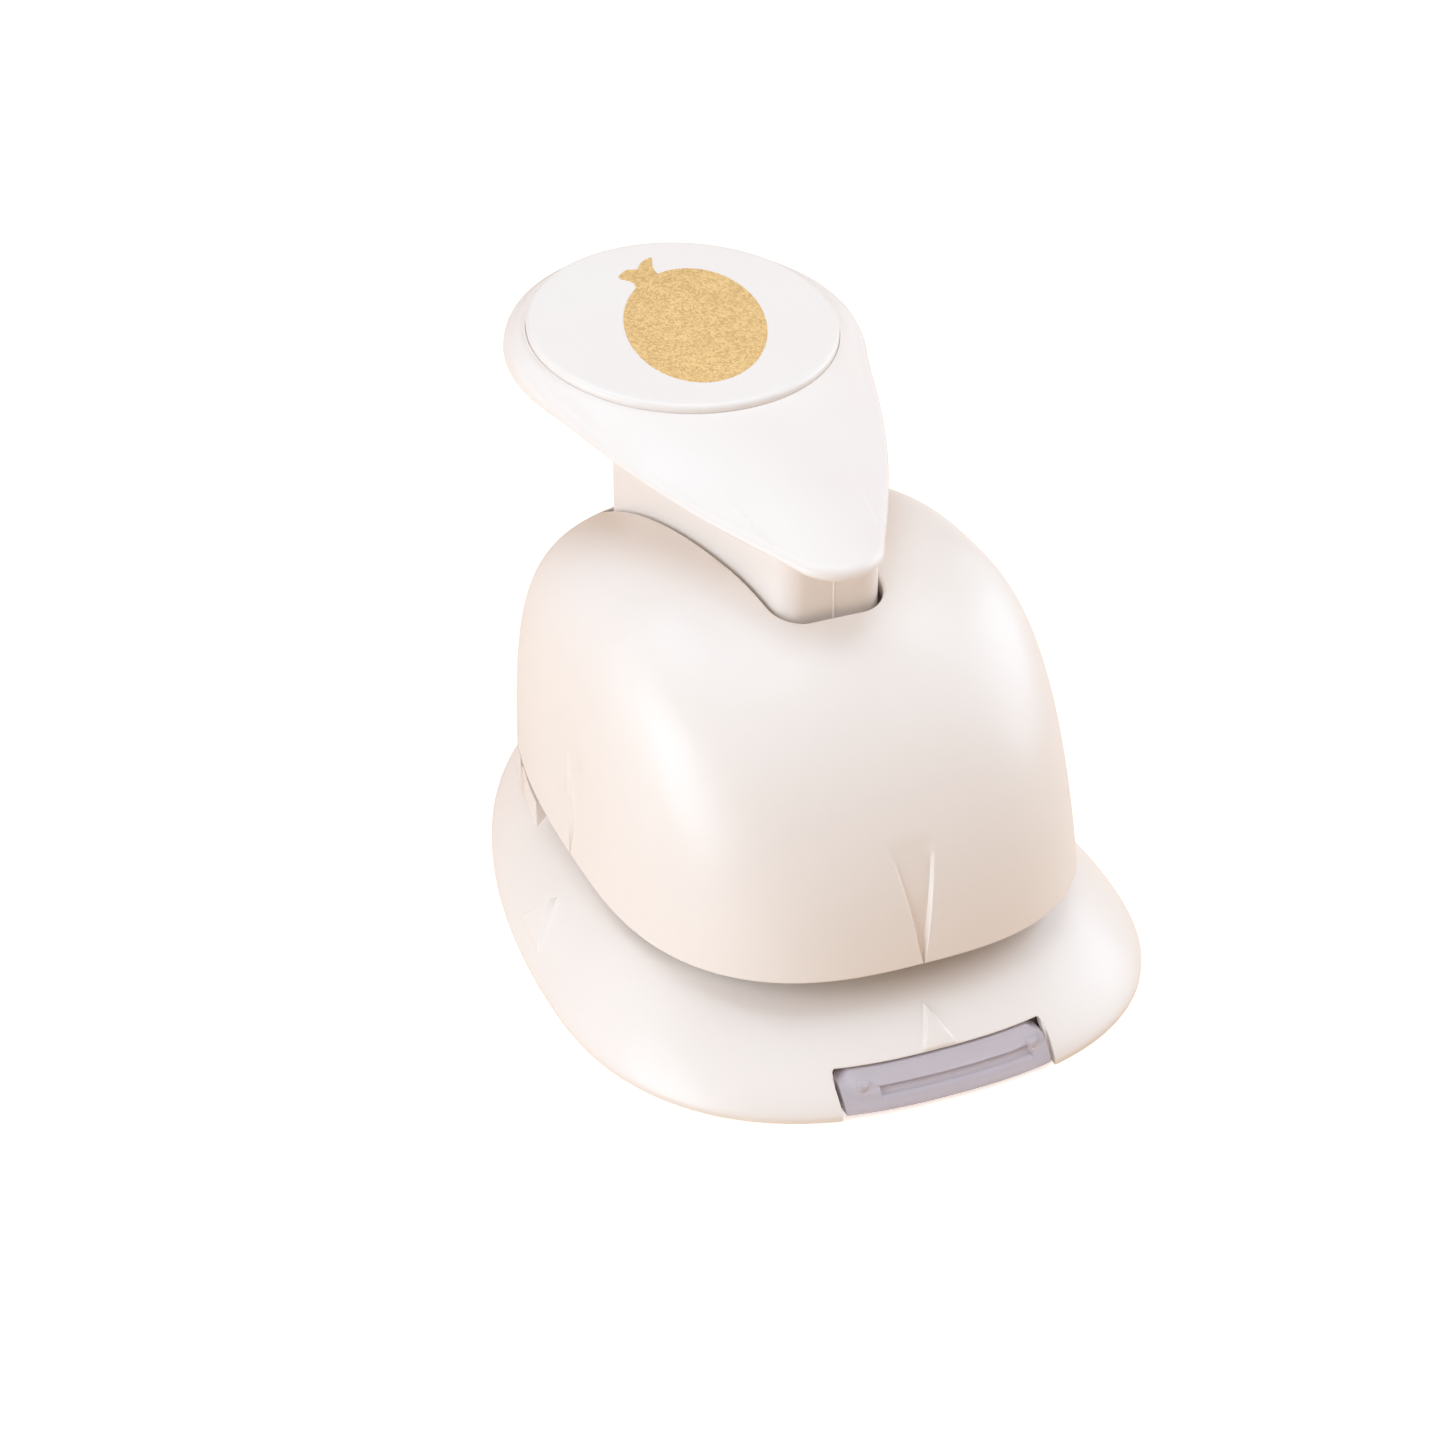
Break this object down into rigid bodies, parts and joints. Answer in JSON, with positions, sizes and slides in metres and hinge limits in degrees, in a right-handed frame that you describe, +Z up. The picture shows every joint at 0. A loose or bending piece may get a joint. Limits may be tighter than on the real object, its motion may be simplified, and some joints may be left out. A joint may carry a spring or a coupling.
{
  "type": "craft punch",
  "caption": "Lever craft punch: domed cover on a flared base, teardrop lever with a round pad, sprung balloon shaped cutter over a die and a clear hinged tray.",
  "frame": {"origin": "middle of the bounding box on the surface that the base stands on", "axes": "+Z up, -Y the front with the tray's window, +X to the right seen from the front"},
  "size_m": [0.072, 0.1012, 0.0638],
  "materials": {
    "white_body": "satin moulded, warm white",
    "lever_white": "satin moulded, warm white",
    "pad_white": "smooth moulded with a thin gold printed balloon",
    "grey_plastic": "plain moulded",
    "clear_tray": "smoky see-through plastic",
    "plate_steel": "ground",
    "cutter_steel": "hardened and ground",
    "zinc": "zinc plated",
    "spring_steel": "drawn wire"
  },
  "bodies": {
    "body": {"base": "white_body", "top_cover": "white_body", "die_plate": "plate_steel", "guide_plate": "plate_steel", "throat_spacer": "plate_steel", "pivot_frame": "grey_plastic", "pivot_pin": "zinc", "guide_post_left": "cutter_steel", "guide_post_right": "cutter_steel", "plate_screw_1": "zinc", "plate_screw_2": "zinc", "plate_screw_3": "zinc", "plate_screw_4": "zinc", "frame_screw_left": "zinc", "frame_screw_right": "zinc", "cover_screw_front_left": "zinc", "cover_screw_front_right": "zinc", "cover_screw_rear_left": "zinc", "cover_screw_rear_right": "zinc"},
    "lever": {"lever": "lever_white", "pad_cap": "pad_white", "presser_pin": "zinc"},
    "roller": {"presser_roller": "grey_plastic"},
    "punch": {"punch_head": "grey_plastic", "punch_cutter": "cutter_steel", "cutter_screw": "zinc", "return_spring_left": "spring_steel", "return_spring_right": "spring_steel"},
    "tray": {"chip_tray": "clear_tray"}
  },
  "joints": [
    {"name": "lever_hinge", "type": "hinge", "parent": "body", "child": "lever", "pos_m": [0, -0.0227, 0.0325], "axis": [-1, 0, 0], "range_deg": [0, 8.09], "stiffness_Nm_per_rad": 0.45, "springref_deg": -9.74},
    {"name": "punch_slide", "type": "slide", "parent": "body", "child": "punch", "axis": [0, 0, -1], "range_m": [0, 0.0024], "deforming": ["return_spring_left", "return_spring_right"]},
    {"name": "roller_turn", "type": "hinge", "parent": "lever", "child": "roller", "pos_m": [0, -0.0057, 0.0305], "axis": [1, 0, 0], "range_deg": [0, 20]},
    {"name": "tray_hinge", "type": "hinge", "parent": "body", "child": "tray", "pos_m": [0, 0.0269, 0.0025], "axis": [1, 0, 0], "range_deg": [0, 60]}
  ],
  "couplings": [
    {"joint": "punch_slide", "follows": "lever_hinge", "m_per_rad": 0.016998},
    {"joint": "roller_turn", "follows": "lever_hinge", "ratio": 2.2}
  ]
}
